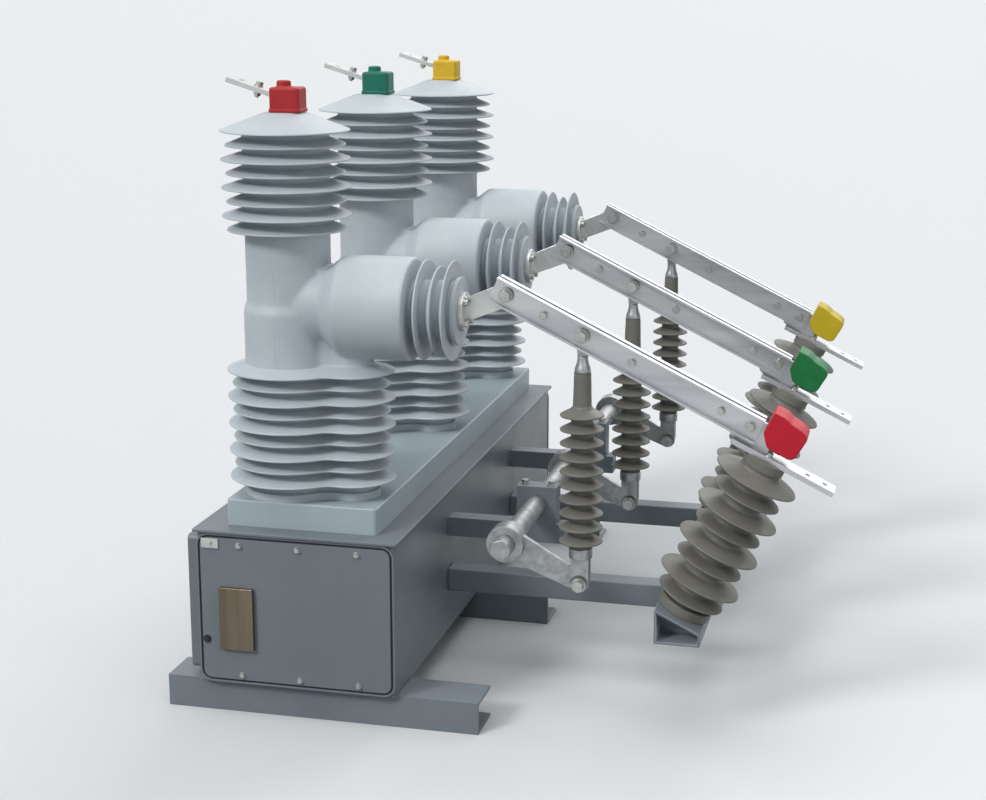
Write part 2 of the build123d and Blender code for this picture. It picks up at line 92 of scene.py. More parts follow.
def spun(profile, centre, axis, steps=96):
    # The wire turned a full circle; up runs along the axis from the centre, which is in metres
    bm = wireOf(profile)
    bmesh.ops.spin(bm, geom=bm.verts[:] + bm.edges[:], cent=(0, 0, 0), axis=(0, 0, 1), dvec=(0, 0, 0),
                   angle=2 * math.pi, steps=steps, use_merge=True, use_duplicate=False)
    bmesh.ops.remove_doubles(bm, verts=bm.verts[:], dist=speck)
    bmesh.ops.transform(bm, matrix=Matrix.Translation(centre) @ turnTo(axis), verts=bm.verts[:])
    bmesh.ops.recalc_face_normals(bm, faces=bm.faces[:])
    return bm


def orderedPoints(bm):
    # The rounded wire read back from its lower open end, as (out, up) in metres
    vert = min((end for end in bm.verts if len(end.link_edges) == 1), key=lambda end: end.co.z)
    found = [vert]
    edge = None
    while ways := [link for link in vert.link_edges if link is not edge]:
        edge = ways[0]
        vert = edge.other_vert(vert)
        found.append(vert)
    return [(point.co.x, point.co.z) for point in found]


def boxInto(bm, low, high, rounding=0.0):
    size = Vector(high) - Vector(low)
    middle = (Vector(high) + Vector(low)) / 2
    made = bmesh.ops.create_cube(bm, size=1, matrix=Matrix.Translation(middle) @ Matrix.Diagonal((*size, 1)))
    if rounding:
        edges = list({edge for vert in made["verts"] for edge in vert.link_edges})
        roundOff(bm, edges, rounding, segments=2)


def foldedBox(low, high, axis, corner, ease):
    # A sheet-metal box: rounder where the sheet is bent along one axis, slightly eased elsewhere
    bm = bmesh.new()
    boxInto(bm, low, high)
    bends = [edge for edge in bm.edges
             if abs((edge.verts[0].co - edge.verts[1].co).normalized().dot(Vector(axis))) > 0.9]
    roundOff(bm, bends, corner * mm, segments=5)
    roundOff(bm, sharpEdges(bm), ease * mm, segments=3)
    bmesh.ops.recalc_face_normals(bm, faces=bm.faces[:])
    return bm


def rodInto(bm, start, along, radius, length, steps=32, rounding=0.0):
    # A round bar from start, with softened ends where a rounding is given
    place = Matrix.Translation(Vector(start)) @ turnTo(along) @ Matrix.Translation((0, 0, length / 2))
    made = bmesh.ops.create_cone(bm, cap_ends=True, segments=steps, radius1=radius, radius2=radius,
                                 depth=length, matrix=place)
    if rounding:
        edges = {edge for vert in made["verts"] for edge in vert.link_edges}
        rims = [edge for edge in edges if any(len(face.verts) > 4 for face in edge.link_faces)]
        roundOff(bm, rims, rounding, segments=2)


# All as shares of the bolt's size, but for the steps round it: radii, thicknesses, easing of the edges
bolt = {"washer": 1.10, "washerThick": 0.18, "washerEase": 0.04, "washerSteps": 28,
        "spring": 0.86, "springThick": 0.20, "springSteps": 24, "head": 0.92, "headThick": 0.68, "headEase": 0.05,
        "thread": 0.5, "threadStart": 0.9, "threadLength": 0.62, "threadEase": 0.07, "threadSteps": 20}


def boltInto(bm, at, along, size, nut=False):
    # Washer, spring washer and hexagon head; a nut shows the thread's end as well
    along = Vector(along).normalized()
    start = Vector(at)
    rodInto(bm, start, along, size * bolt["washer"], size * bolt["washerThick"], bolt["washerSteps"],
            size * bolt["washerEase"])
    start += along * size * bolt["washerThick"]
    rodInto(bm, start, along, size * bolt["spring"], size * bolt["springThick"], bolt["springSteps"])
    middle = start + along * size * (bolt["springThick"] + bolt["headThick"] / 2)
    made = bmesh.ops.create_cone(bm, cap_ends=True, segments=6, radius1=size * bolt["head"],
                                 radius2=size * bolt["head"], depth=size * bolt["headThick"],
                                 matrix=Matrix.Translation(middle) @ turnTo(along))
    edges = list({edge for vert in made["verts"] for edge in vert.link_edges})
    roundOff(bm, edges, size * bolt["headEase"], segments=1)
    if nut:
        rodInto(bm, Vector(at) + along * size * bolt["threadStart"], along, size * bolt["thread"],
                size * bolt["threadLength"], bolt["threadSteps"], size * bolt["threadEase"])


def joined(parts):
    bm = bmesh.new()
    for part in parts:
        mesh = bpy.data.meshes.new("part")
        part.to_mesh(mesh)
        part.free()
        bm.from_mesh(mesh)
        bpy.data.meshes.remove(mesh)
    return bm


softened = {"merge": 2e-6, "flatAngle": 0.2, "hardAngle": 28, "segments": 2}


def softenedNode(name, width):
    # A merged copy of a CAD node with its hard edges eased, as folded or cast metal has
    bm = bmesh.new()
    bm.from_mesh(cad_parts[name].data)
    bmesh.ops.remove_doubles(bm, verts=bm.verts[:], dist=softened["merge"])
    bmesh.ops.dissolve_limit(bm, angle_limit=math.radians(softened["flatAngle"]), verts=bm.verts[:],
                             edges=bm.edges[:])
    roundOff(bm, sharpEdges(bm, softened["hardAngle"]), width * mm, softened["segments"], slide=True)
    return bm


creaseAngle = 38  # shading stays sharp past it


def finishPiece(bm, name, material, body, slotName, *nodes):
    bmesh.ops.dissolve_degenerate(bm, dist=speck, edges=bm.edges[:])
    mesh = bpy.data.meshes.new(name)
    bm.to_mesh(mesh)
    bm.free()
    mesh.materials.append(material)
    mesh.shade_smooth()
    mesh.set_sharp_from_angle(angle=math.radians(creaseAngle))
    piece = bpy.data.objects.new(name, mesh)
    bpy.context.scene.collection.objects.link(piece)
    shading = piece.modifiers.new("shading", "WEIGHTED_NORMAL")
    shading.keep_sharp = True
    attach(piece, body)
    if nodes:
        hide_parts(*nodes)


def onEachPole(bm, stem, material, body, slotName, nodeStem=None):
    # The bmesh is drawn for the middle pole and laid on all three
    for colour, poleY in poles.items():
        one = bm.copy()
        bmesh.ops.translate(one, vec=(0, poleY, 0), verts=one.verts[:])
        nodes = [f"{nodeStem}_{colour}"] if nodeStem else []
        paint = material[colour] if isinstance(material, dict) else material
        finishPiece(one, f"{stem}_{colour}", paint, body.format(colour), slotName.format(colour), *nodes)
    bm.free()


def linearColour(code):
    # sRGB hex as the linear colour a shader takes
    parts = [int(code[i:i + 2], 16) / 255 for i in (1, 3, 5)]
    return (*[part / 12.92 if part <= 0.04045 else ((part + 0.055) / 1.055) ** 2.4 for part in parts], 1)


def addNode(tree, kind, settings, inputs):
    node = tree.nodes.new(kind)
    for key, value in settings.items():
        setattr(node, key, value)
    for socket, value in inputs.items():
        if isinstance(value, bpy.types.NodeSocket):
            tree.links.new(value, node.inputs[socket])
        else:
            node.inputs[socket].default_value = value
    return node


# Noise behind every finish: broad patches carry colour and gloss, fine grain the relief
noise = {"detail": 4.0, "roughness": 0.6, "colourFrom": 0.33, "colourTo": 0.67,
         "glossFrom": 0.3, "glossTo": 0.7, "grainDetail": 2.0, "bump": 0.5}


def surface(name, look):
    # look: two colours mottled in patches, roughness range, grain and its relief; sizes in millimetres
    material = bpy.data.materials.new(name)
    material.use_nodes = True
    tree = material.node_tree
    shader = tree.nodes["Principled BSDF"]
    place = addNode(tree, "ShaderNodeTexCoord", {}, {})
    lay = addNode(tree, "ShaderNodeMapping", {}, {
        "Vector": place.outputs["Object"], "Rotation": look.get("turn", (0, 0, 0)),
        "Scale": look.get("stretch", (1, 1, 1))})
    broad = addNode(tree, "ShaderNodeTexNoise", {}, {
        "Vector": lay.outputs["Vector"], "Scale": 1000 / look["patch"], "Detail": noise["detail"],
        "Roughness": noise["roughness"]})
    spread = addNode(tree, "ShaderNodeMapRange", {}, {
        "Value": broad.outputs["Fac"], "From Min": noise["colourFrom"], "From Max": noise["colourTo"]})
    colour = addNode(tree, "ShaderNodeMix", {"data_type": "RGBA"}, {
        0: spread.outputs["Result"], 6: linearColour(look["light"]), 7: linearColour(look["dark"])})
    tree.links.new(colour.outputs[2], shader.inputs["Base Color"])
    smoothest, roughest = look["roughness"]
    gloss = addNode(tree, "ShaderNodeMapRange", {}, {
        "Value": broad.outputs["Fac"], "From Min": noise["glossFrom"], "From Max": noise["glossTo"],
        "To Min": smoothest, "To Max": roughest})
    tree.links.new(gloss.outputs["Result"], shader.inputs["Roughness"])
    fine = addNode(tree, "ShaderNodeTexNoise", {}, {
        "Vector": lay.outputs["Vector"], "Scale": 1000 / look["grain"], "Detail": noise["grainDetail"]})
    relief = addNode(tree, "ShaderNodeBump", {}, {
        "Height": fine.outputs["Fac"], "Distance": look["relief"] * mm, "Strength": noise["bump"]})
    tree.links.new(relief.outputs["Normal"], shader.inputs["Normal"])
    if "metallic" in look:
        shader.inputs["Metallic"].default_value = look["metallic"]
    if "ior" in look:
        shader.inputs["IOR"].default_value = look["ior"]
    return material


# Moulded silicone rubber: matt to satin with a thin bloom of dust, never shiny
poleSilicone = surface("moulded silicone rubber, light grey", {
    "light": "#c2cace", "dark": "#b7c0c5", "patch": 160, "roughness": (0.42, 0.56),
    "grain": 2.4, "relief": 0.06, "ior": 1.41})
# The isolator's insulators are moulded in a darker, browner grey of the same rubber
switchSilicone = surface("moulded silicone rubber, dark grey", {
    "light": "#787670", "dark": "#6b6963", "patch": 90, "roughness": (0.45, 0.60),
    "grain": 2.0, "relief": 0.06, "ior": 1.41})
# Powder coat on sheet steel: even colour, faint orange peel with waves of about 2.5 mm
bedPaint = surface("powder coat on sheet steel, pale blue grey", {
    "light": "#acb9bf", "dark": "#a4b2b9", "patch": 300, "roughness": (0.36, 0.46),
    "grain": 2.6, "relief": 0.08, "ior": 1.5})
cabinetPaint = surface("powder coat on sheet steel, mid grey", {
    "light": "#757d83", "dark": "#6d757b", "patch": 300, "roughness": (0.36, 0.46),
    "grain": 2.6, "relief": 0.08, "ior": 1.5})
# The same coat on rolled sections, duller over their rougher skin
framePaint = surface("powder coat on rolled steel, grey", {
    "light": "#7b8389", "dark": "#727a81", "patch": 220, "roughness": (0.42, 0.55),
    "grain": 2.6, "relief": 0.10, "ior": 1.5})
# Tin plate on copper: soft white metal with a broken shine
tinnedCopper = surface("tin plate on drawn copper", {
    "light": "#cbccca", "dark": "#b4b5b3", "patch": 60, "roughness": (0.30, 0.46),
    "grain": 1.6, "relief": 0.05, "metallic": 1.0})
# The blades and line bars are drawn lengthwise, so their fine lines run down the slope
tinnedBlade = surface("tin plate on drawn copper channel", {
    "light": "#c8c9cb", "dark": "#adaeb1", "patch": 60, "roughness": (0.28, 0.44),
    "grain": 1.6, "relief": 0.05, "metallic": 1.0, "turn": (0, -tilt, 0), "stretch": (0.06, 1, 1)})
# Hot-dip zinc: dull crystals of about 12 mm
hotDipZinc = surface("hot-dip zinc on steel", {
    "light": "#a9abab", "dark": "#8d8f90", "patch": 24, "roughness": (0.38, 0.56),
    "grain": 3.0, "relief": 0.06, "metallic": 0.9})
# Zinc-plated fasteners: finer and brighter than the dipped steel
platedBolt = surface("zinc plate on bolts", {
    "light": "#bcbdb9", "dark": "#a2a3a0", "patch": 14, "roughness": (0.26, 0.40),
    "grain": 1.5, "relief": 0.02, "metallic": 1.0})
# Blank rolled plate: its warm brown is a painted reflection of brown boxes nearby, its rolling lines upright
plateReflectionPainted = surface("rolled metal plate, painted warm reflection", {
    "light": "#7f7362", "dark": "#675d4f", "patch": 40, "roughness": (0.26, 0.38),
    "grain": 1.4, "relief": 0.03, "metallic": 0.85, "stretch": (1, 1, 0.05)})
# Soft black rubber in the gap round each cover, its black partly painted shade for the gap, and the black of the
# lock
blackRubberAndGapShade = surface("black rubber, partly painted gap shade", {
    "light": "#202224", "dark": "#191b1c", "patch": 50, "roughness": (0.6, 0.75),
    "grain": 1.8, "relief": 0.05, "ior": 1.5})


def bootRubber(kind, roughness, codes):
    # Moulded silicone, coloured right through and satin, in the colour of each pole
    return {colour: surface(f"moulded silicone {kind}, {colour}", {
        "light": light, "dark": dark, "patch": 40, "roughness": roughness,
        "grain": 1.8, "relief": 0.05, "ior": 1.41}) for colour, (light, dark) in codes.items()}


poleBoots = bootRubber("boot", (0.46, 0.58), {
    "red": ("#b0282c", "#a32227"), "green": ("#14705c", "#116653"), "yellow": ("#e0b82e", "#d4ab28")})
lineBoots = bootRubber("hood", (0.50, 0.62), {
    "red": ("#c3182f", "#b5152a"), "green": ("#14713a", "#116534"), "yellow": ("#c9b01f", "#bca41b")})
print("materials ready")


# All sizes from here on are in millimetres, unless a note says metres
shed = {"pitch": 33, "rim": 4, "slope": 16, "large": 153, "small": 142, "under": 4,
        "root": 3, "lip": 1.9, "fillet": 5}


def shedProfile(core, rims):
    # Underside drawn down to a rounded lip, then the slope back to the core
    profile = []
    for level, out in rims:
        profile += [(core, level + shed["under"], shed["root"]), (out, level, shed["lip"]),
                    (out, level + shed["rim"], shed["lip"]),
                    (core, level + shed["rim"] + shed["slope"], shed["fillet"])]
    return profile


column = {"core": 101, "collar": 101.4, "collarHeight": 6, "firstRim": 83, "sheds": 7,
          "capUnder": 5, "capRoot": 4, "capIn": 3, "capEase": 1, "capRim": 2.5,
          "capSlope": 40, "capTop": 48, "capCrown": 9}


def upperColumn():
    # Round sheds, small and large in turn, under a conical cap
    low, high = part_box("interrupter_pole_green")
    tall = (high.z - low.z) / mm
    rims = [(column["firstRim"] + i * shed["pitch"], shed["large"] if i % 2 else shed["small"])
            for i in range(column["sheds"])]
    capFoot = tall - column["capSlope"] - shed["rim"]
    profile = [(0, 0, 0), (column["collar"], 0, 0), (column["collar"], column["collarHeight"], 0)]
    profile += shedProfile(column["core"], rims)
    profile += [(column["core"], capFoot + column["capUnder"], column["capRoot"]),
                (shed["large"] - column["capIn"], capFoot, 0), (shed["large"], capFoot + column["capEase"], 0),
                (shed["large"], capFoot + shed["rim"], column["capRim"]),
                (column["capTop"], tall, column["capCrown"]), (0, tall, 0)]
    return spun(profile, (0, 0, low.z), (0, 0, 1))


keyhole = {"mainR": 103, "lobeX": 157, "lobeR": 51, "neckR": 90, "footGrow": 12, "footHeight": 18,
           "footEase": 3, "largeGrow": 50, "smallGrow": 38, "firstRim": 41, "sheds": 8,
           "mainSteps": 52, "lobeSteps": 30, "neckSteps": 10, "segments": 3}


def keyholeRing(bm, grow, height):
    # Four arcs drawn by turning one point: main lobe, hollow, cable lobe, hollow
    mainReach = keyhole["mainR"] + keyhole["neckR"]
    lobeReach = keyhole["lobeR"] + keyhole["neckR"]
    neckX = (keyhole["lobeX"] ** 2 + mainReach ** 2 - lobeReach ** 2) / (2 * keyhole["lobeX"])
    neckY = math.sqrt(mainReach ** 2 - neckX ** 2)
    mainAngle = math.atan2(neckY, neckX)
    lobeAngle = math.atan2(neckY, neckX - keyhole["lobeX"])
    radius = keyhole["mainR"] + grow
    arcs = [(0, 0, 2 * math.pi - 2 * mainAngle, keyhole["mainSteps"]),
            (neckX, -neckY, mainAngle - lobeAngle, keyhole["neckSteps"]),
            (keyhole["lobeX"], 0, 2 * lobeAngle, keyhole["lobeSteps"]),
            (neckX, neckY, mainAngle - lobeAngle, keyhole["neckSteps"])]
    earlier = set(bm.edges)
    first = bm.verts.new((radius * math.cos(mainAngle) * mm, radius * math.sin(mainAngle) * mm, height * mm))
    end = first
    for x, y, sweep, steps in arcs:
        end = drawArc(bm, end, (x * mm, y * mm, height * mm), (0, 0, 1), sweep, steps)
    bmesh.ops.pointmerge(bm, verts=[end, first], merge_co=first.co)
    return [edge for edge in bm.edges if edge not in earlier]


def keyholeSolid(profile):
    # Here out is how far the keyhole outline has grown
    wire = wireOf(profile, keyhole["segments"])
    levels = orderedPoints(wire)
    wire.free()
    bm = bmesh.new()
    rings = [keyholeRing(bm, out / mm, up / mm) for out, up in levels]
    for below, above in zip(rings, rings[1:]):
        bmesh.ops.bridge_loops(bm, edges=below + above)
    for end in (rings[0], rings[-1]):
        bmesh.ops.contextual_create(bm, geom=end)
    bmesh.ops.recalc_face_normals(bm, faces=bm.faces[:])
    return bm


def lowerColumn():
    low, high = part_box("support_insulator_green")
    foot, top = low.z / mm, high.z / mm
    footTop = foot + keyhole["footHeight"]
    rims = [(foot + keyhole["firstRim"] + i * shed["pitch"],
             keyhole["smallGrow"] if i % 2 else keyhole["largeGrow"]) for i in range(keyhole["sheds"])]
    return keyholeSolid([(keyhole["footGrow"], foot, 0), (keyhole["footGrow"], footTop, keyhole["footEase"]),
                         (0, footTop, keyhole["footEase"])] + shedProfile(0, rims) + [(0, top, 0)])


# axis is the height of the barrel's axis; lobeFoot to neckTop say where each body starts or ends
housing = {"axis": 997, "bodyR": 109, "neckR": 101, "ledge": 2, "ledgeRise": 26, "ledgeIn": 2,
           "lobeFoot": 10, "bodyFoot": 12, "neckTop": 9, "webIn": 30, "webOut": 6, "webFoot": 50, "webRise": 92,
           "coneR": 94, "coneStart": 106, "shoulder": 143, "barrelR": 123, "barrelLength": 171, "barrelEdge": 5,
           "voxel": 3.4, "passes": 13, "ease": 0.5}


def mouldedSkin(bm):
    # The mould has no sharp inner corner: one skin over all the bodies, then smoothed
    mesh = bpy.data.meshes.new("mould")
    bm.to_mesh(mesh)
    bm.free()
    draft = bpy.data.objects.new("mould", mesh)
    bpy.context.scene.collection.objects.link(draft)
    skin = draft.modifiers.new("skin", "REMESH")
    skin.mode = "VOXEL"
    skin.voxel_size = housing["voxel"] * mm
    ease = draft.modifiers.new("ease", "SMOOTH")
    ease.factor = housing["ease"]
    ease.iterations = housing["passes"]
    bpy.context.view_layer.update()
    done = bmesh.new()
    done.from_object(draft, bpy.context.evaluated_depsgraph_get())
    bpy.data.objects.remove(draft)
    return done


def housingBody():
    # Bottle-shaped body over the cable lobe, web beside the neck, transformer barrel towards the isolator
    low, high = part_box("ct_housing_green")
    axis = housing["axis"]
    bodyFoot = low.z / mm + housing["bodyFoot"]
    neckTop = high.z / mm + housing["neckTop"]
    ledgeFoot = axis + housing["ledge"] - housing["ledgeRise"] / 2
    ledgeTop = ledgeFoot + housing["ledgeRise"]
    barrelEnd = housing["shoulder"] + housing["barrelLength"]
    lobe = keyholeSolid([(0, low.z / mm + housing["lobeFoot"], 0), (0, axis, 0)])
    boxInto(lobe, Vector((housing["webIn"], -keyhole["lobeR"], axis - housing["webFoot"])) * mm,
            Vector((keyhole["lobeX"] + housing["webOut"], keyhole["lobeR"], axis + housing["webRise"])) * mm)
    body = spun([(0, bodyFoot, 0), (housing["bodyR"], bodyFoot, 0), (housing["bodyR"], ledgeFoot, 0),
                 (housing["neckR"] - housing["ledgeIn"], ledgeTop, 0), (0, ledgeTop, 0)], (0, 0, 0), (0, 0, 1))
    neck = spun([(0, axis, 0), (housing["neckR"], axis, 0), (housing["neckR"], neckTop, 0), (0, neckTop, 0)],
                (0, 0, 0), (0, 0, 1))
    barrel = spun([(0, 0, 0), (housing["coneR"], 0, 0), (housing["coneR"], housing["coneStart"], 0),
                   (housing["barrelR"], housing["shoulder"], 0),
                   (housing["barrelR"], barrelEnd, housing["barrelEdge"]), (0, barrelEnd, 0)],
                  (0, 0, axis * mm), (1, 0, 0))
    return mouldedSkin(joined([lobe, body, neck, barrel]))


barrelShed = {"count": 3, "sunk": 8, "core": 70, "firstRim": 25, "large": 118, "small": 104, "back": 3,
              "backRoot": 2, "disc": 80, "discThick": 10, "discRoot": 3, "discBack": 2, "discEdge": 2.5,
              "closing": 30}


def housingSheds():
    # Keyhole shed that closes the body's foot, and the three upright sheds with their end disc
    low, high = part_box("ct_housing_green")
    foot = low.z / mm
    closing = keyholeSolid([(0, foot, 0)] + shedProfile(0, [(foot + shed["rim"], keyhole["largeGrow"])])
                           + [(0, foot + barrelShed["closing"], 0)])
    barrelEnd = housing["shoulder"] + housing["barrelLength"]
    discEnd = high.x / mm
    discBack = discEnd - barrelShed["discThick"]
    core = barrelShed["core"]
    profile = [(0, barrelEnd - barrelShed["sunk"], 0), (core, barrelEnd - barrelShed["sunk"], 0)]
    for i in range(barrelShed["count"]):
        rim = barrelEnd + barrelShed["firstRim"] + i * shed["pitch"]
        out = barrelShed["small"] if i % 2 else barrelShed["large"]
        profile += [(core, rim - shed["slope"], shed["fillet"]), (out, rim, shed["lip"]),
                    (out, rim + shed["rim"], shed["lip"]),
                    (core, rim + shed["rim"] - barrelShed["back"], barrelShed["backRoot"])]
    profile += [(core, discBack, barrelShed["discRoot"]),
                (barrelShed["disc"], discBack, barrelShed["discBack"]),
                (barrelShed["disc"], discEnd, barrelShed["discEdge"]), (0, discEnd, 0)]
    return joined([closing, spun(profile, (0, 0, housing["axis"] * mm), (1, 0, 0))])


flash = {"radius": 0.9, "sunk": 0.4, "steps": 8, "bodyFoot": 20, "bodyLength": 122, "neckFoot": 22}


def partingLines():
    # Flash left where the two mould halves met, down both sides of body and neck
    bm = bmesh.new()
    low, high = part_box("ct_housing_green")
    neckFoot = (housing["axis"] + flash["neckFoot"]) * mm
    for side in (-1, 1):
        rodInto(bm, (0, side * (housing["bodyR"] - flash["sunk"]) * mm, low.z + flash["bodyFoot"] * mm),
                (0, 0, 1), flash["radius"] * mm, flash["bodyLength"] * mm, flash["steps"])
        rodInto(bm, (0, side * (housing["neckR"] - flash["sunk"]) * mm, neckFoot),
                (0, 0, 1), flash["radius"] * mm, high.z - neckFoot, flash["steps"])
    return bm


onEachPole(upperColumn(), "upper_column", poleSilicone, "breaker", "pole_silicone", "interrupter_pole")
onEachPole(lowerColumn(), "lower_column", poleSilicone, "breaker", "pole_silicone", "support_insulator")
onEachPole(housingBody(), "housing_skin", poleSilicone, "breaker", "pole_silicone", "ct_housing")
onEachPole(housingSheds(), "housing_sheds", poleSilicone, "breaker", "pole_silicone")
onEachPole(partingLines(), "parting_line", poleSilicone, "breaker", "pole_silicone")
print("poles moulded")


# Each metal node of a pole: its piece, metal, body, slot and how wide its edges are eased
metalwork = {
    "top_terminal": ("terminal", tinnedCopper, "breaker", "tinned_metal", 1.2),
    "line_terminal": ("line_bar", tinnedBlade, "breaker", "tinned_metal", 1.2),
    "hinge_lug": ("lug", tinnedCopper, "breaker", "tinned_metal", 1.5),
    "blade": ("knife", tinnedBlade, "blade_{}", "tinned_metal", 1.0),
    "crank": ("arm", hotDipZinc, "isolator_shaft", "galvanised_steel", 2.0),
}
for colour in poles:
    for stem, (pieceStem, metal, body, slotName, width) in metalwork.items():
        node = f"{stem}_{colour}"
        finishPiece(softenedNode(node, width), f"{pieceStem}_{colour}", metal, body.format(colour), slotName,
                    node)

boot = {"corner": 9, "edge": 6, "lip": 2.2, "lipHeight": 9, "lipCorner": 10, "lipEdge": 2.5,
        "knob": 17, "knobHeight": 15, "knobEdge": 5, "knobSunk": 8, "flare": 4, "flareHeight": 2,
        "flareEdge": 2, "flareRoot": 3, "steps": 40}


def poleBoot():
    # Dip-moulded boot: soft block with a thickened lower rim and a round knob over the stem's end
    low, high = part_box("top_boot_green")
    capTop = high.z - boot["knobHeight"] * mm
    block = foldedBox(low, (high.x, high.y, capTop), (0, 0, 1), boot["corner"], boot["edge"])
    grow = Vector((boot["lip"], boot["lip"], 0)) * mm
    rim = foldedBox(low - grow, (high.x + grow.x, high.y + grow.y, low.z + boot["lipHeight"] * mm), (0, 0, 1),
                    boot["lipCorner"], boot["lipEdge"])
    flare = boot["knob"] + boot["flare"]
    knob = spun([(0, -boot["knobSunk"], 0), (flare, -boot["knobSunk"], 0), (flare, 0, boot["flareEdge"]),
                 (boot["knob"], boot["flareHeight"], boot["flareRoot"]),
                 (boot["knob"], boot["knobHeight"], boot["knobEdge"]), (0, boot["knobHeight"], 0)],
                (0, 0, capTop), (0, 0, 1), boot["steps"])
    return joined([block, rim, knob])


onEachPole(poleBoot(), "boot", poleBoots, "breaker", "pole_boot_{}", "top_boot")
print("terminals, boots and blades finished")


# The switch is laid out from its hinge, along the closed blade and square to it
lugEye = 28
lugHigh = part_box("hinge_lug_green")[1]
hinge = Vector((lugHigh.x - lugEye * mm, 0, lugHigh.z - lugEye * mm))
alongBlade = Vector((math.cos(tilt), 0, -math.sin(tilt)))
squareToBlade = Vector((math.sin(tilt), 0, math.cos(tilt)))

# Side view as seen along the blade: (along, square to it, rounding)
hood = {"half": 42, "edge": 8, "segments": 5, "edgeSegments": 4,
        "outline": [(668, 8, 0), (690, -20, 14), (757, -20, 16), (762, 46, 14),
                    (744, 54, 10), (712, 57, 12), (700, 63, 10), (668, 63, 12)]}


def lineHood():
    # Thick-walled moulded hood: its side view filled, given its width, then all edges rounded
    bm = wireOf(hood["outline"] + hood["outline"][:1], hood["segments"])
    bmesh.ops.remove_doubles(bm, verts=bm.verts[:], dist=speck)
    bmesh.ops.contextual_create(bm, geom=bm.edges[:])
    drawOut(bm, bm.faces[:], (0, 2 * hood["half"] * mm, 0))
    bmesh.ops.translate(bm, vec=(0, -hood["half"] * mm, 0), verts=bm.verts[:])
    roundOff(bm, sharpEdges(bm), hood["edge"] * mm, hood["edgeSegments"])
    bmesh.ops.transform(bm, matrix=Matrix.Translation(hinge) @ Matrix.Rotation(tilt, 4, "Y"), verts=bm.verts[:])
    bmesh.ops.recalc_face_normals(bm, faces=bm.faces[:])
    return bm


onEachPole(lineHood(), "hood", lineBoots, "breaker", "line_boot_{}", "line_boot")

post = {"past": 704, "top": -52, "length": 420, "core": 47, "large": 100, "small": 82, "sheds": 8,
        "cap": 50, "capHeight": 22, "capUnder": 1, "foot": 64, "footHeight": 24, "footTop": 4, "edge": 2,
        "steps": 80}


def postInsulator():
    capFoot = post["length"] - post["capHeight"]
    step = (capFoot - post["footHeight"]) / post["sheds"]
    rims = [(post["footHeight"] + (i + 0.5) * step - shed["slope"] / 2,
             post["large"] if i % 2 else post["small"]) for i in range(post["sheds"])]
    profile = [(0, 0, 0), (post["foot"], 0, post["edge"]), (post["foot"], post["footHeight"], post["footTop"]),
               (post["core"], post["footHeight"], post["edge"])]
    profile += shedProfile(post["core"], rims)
    profile += [(post["core"], capFoot, post["edge"]), (post["cap"], capFoot, post["capUnder"]),
                (post["cap"], post["length"], post["edge"]), (0, post["length"], 0)]
    base = hinge + alongBlade * post["past"] * mm + squareToBlade * (post["top"] - post["length"]) * mm
    return spun(profile, base, squareToBlade, post["steps"])


onEachPole(postInsulator(), "post", switchSilicone, "breaker", "switch_insulator", "post_insulator")

# Heights run down from the eye: stem, collar, smooth neck, sheds, socket, fork
rod = {"reach": 200, "length": 600, "stem": 78, "collar": 19, "collarHeight": 10,
       "neck": 84, "neckR": 22, "neckIn": 2, "neckRise": 3, "neckRoot": 3, "neckTop": 4,
       "core": 26, "shed": 52, "slope": 14, "sheds": 10, "shedUnder": 1, "shedRoot": 2, "shedLip": 1.6,
       "shedFillet": 4, "socket": 28, "socketHeight": 26, "socketEdge": 3, "fork": 62,
       "steps": 64, "metalSteps": 40}
rodTop = hinge + alongBlade * rod["reach"] * mm
collarTop = -rod["stem"] - rod["collarHeight"]


def rodInsulator():
    socketTop = rod["fork"] + rod["socketHeight"] - rod["length"]
    neckEnd = collarTop - rod["neck"]
    step = (neckEnd - socketTop) / rod["sheds"]
    profile = [(0, socketTop, 0), (rod["core"], socketTop, 0)]
    for i in reversed(range(rod["sheds"])):
        level = neckEnd - i * step - shed["rim"] / 2
        foot = level - rod["slope"]
        profile += [(rod["core"], foot - rod["shedUnder"], rod["shedRoot"]),
                    (rod["shed"], foot - shed["rim"], rod["shedLip"]), (rod["shed"], foot, rod["shedLip"]),
                    (rod["core"], level, rod["shedFillet"])]
    profile += [(rod["core"], neckEnd, rod["shedRoot"]),
                (rod["neckR"], neckEnd + rod["neckRise"], rod["neckRoot"]),
                (rod["neckR"] - rod["neckIn"], collarTop, rod["neckTop"]), (0, collarTop, 0)]
    return spun(profile, rodTop, (0, 0, 1), rod["steps"])


stud = {"radius": 12, "top": 49, "flareR": 13, "flareTop": 24, "flareRoot": 8,
        "collarTop": 9, "collarEdge": 2, "collarRoot": 4, "edge": 2}


def rodFittings():
    # Round stud under the forged eye, flared to its collar, and the socket crimped on above the fork
    bm = spun([(0, collarTop, 0), (rod["collar"], collarTop, stud["collarEdge"]),
               (rod["collar"], collarTop + stud["collarTop"], stud["collarRoot"]),
               (stud["flareR"], collarTop + stud["flareTop"], stud["flareRoot"]),
               (stud["radius"], -stud["top"], stud["edge"]), (0, -stud["top"], 0)],
              rodTop, (0, 0, 1), rod["metalSteps"])
    socketFoot = rodTop + Vector((0, 0, rod["fork"] - rod["length"])) * mm
    rodInto(bm, socketFoot, (0, 0, 1), rod["socket"] * mm, rod["socketHeight"] * mm, rod["metalSteps"],
            rod["socketEdge"] * mm)
    return bm


flat = {"arcSteps": 18, "holeSteps": 28, "edge": 1.2}


